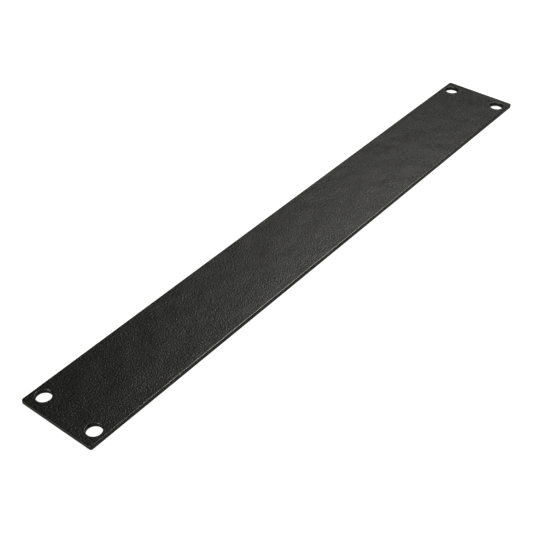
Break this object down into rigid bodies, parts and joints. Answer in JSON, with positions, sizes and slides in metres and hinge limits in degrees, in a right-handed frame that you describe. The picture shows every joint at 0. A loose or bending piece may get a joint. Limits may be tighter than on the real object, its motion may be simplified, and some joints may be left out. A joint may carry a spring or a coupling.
{
  "type": "rack blanking panel",
  "caption": "Flat black powder-coated steel blanking panel, one rack unit high, with a round screw hole near each corner for closing an unused space in an equipment rack.",
  "frame": {"origin": "middle of the back face, midway between the four screw holes; the panel lies on its back", "axes": "+X along the panel's length, +Y across its one rack unit of height, +Z out of the front face"},
  "size_m": [0.3556, 0.044, 0.0025],
  "materials": {
    "black_powder_coat": "fine-textured matt black powder coat on steel sheet"
  },
  "bodies": {
    "root": {"blanking_panel": "black_powder_coat"}
  },
  "joints": []
}
